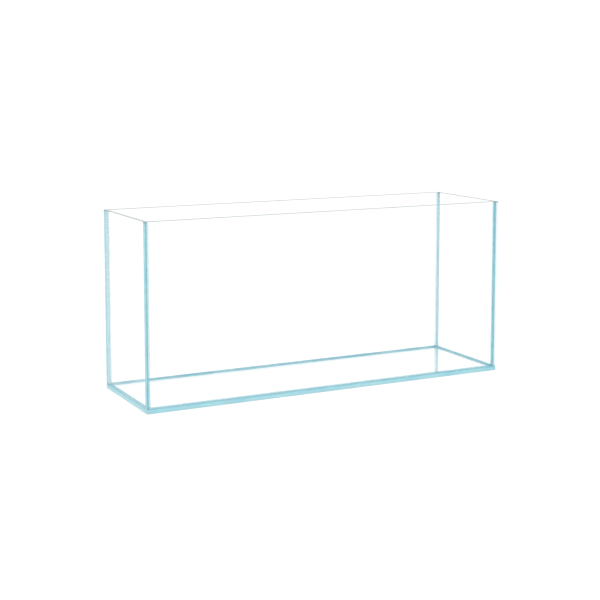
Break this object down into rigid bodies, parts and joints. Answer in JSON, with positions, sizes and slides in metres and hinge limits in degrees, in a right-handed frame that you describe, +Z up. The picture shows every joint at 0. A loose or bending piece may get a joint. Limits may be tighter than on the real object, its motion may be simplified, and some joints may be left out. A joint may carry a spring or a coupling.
{
  "type": "rimless glass aquarium tank",
  "caption": "Open-topped rectangular tank of flat glass panes joined edge to face with clear silicone, with tooled seal beads in the inside corners.",
  "frame": {"origin": "centre of the base pane's underside, the face the tank stands on", "axes": "+X along the tank's length, +Y from the front pane to the back pane, +Z up"},
  "size_m": [1.2, 0.35, 0.55],
  "materials": {
    "wall_glass": "clear polished float glass with pale blue-green edges",
    "base_glass": "clear polished float glass with pale blue-green edges",
    "bond_silicone": "clear silicone film, satin",
    "seal_silicone": "clear silicone bead, smoothly tooled"
  },
  "bodies": {
    "root": {"base_pane": "base_glass", "front_pane": "wall_glass", "back_pane": "wall_glass", "left_pane": "wall_glass", "right_pane": "wall_glass", "front_base_bond": "bond_silicone", "back_base_bond": "bond_silicone", "left_base_bond": "bond_silicone", "right_base_bond": "bond_silicone", "front_left_bond": "bond_silicone", "front_right_bond": "bond_silicone", "back_left_bond": "bond_silicone", "back_right_bond": "bond_silicone", "front_base_seal": "seal_silicone", "back_base_seal": "seal_silicone", "left_base_seal": "seal_silicone", "right_base_seal": "seal_silicone", "front_left_seal": "seal_silicone", "front_right_seal": "seal_silicone", "back_left_seal": "seal_silicone", "back_right_seal": "seal_silicone"}
  },
  "joints": []
}
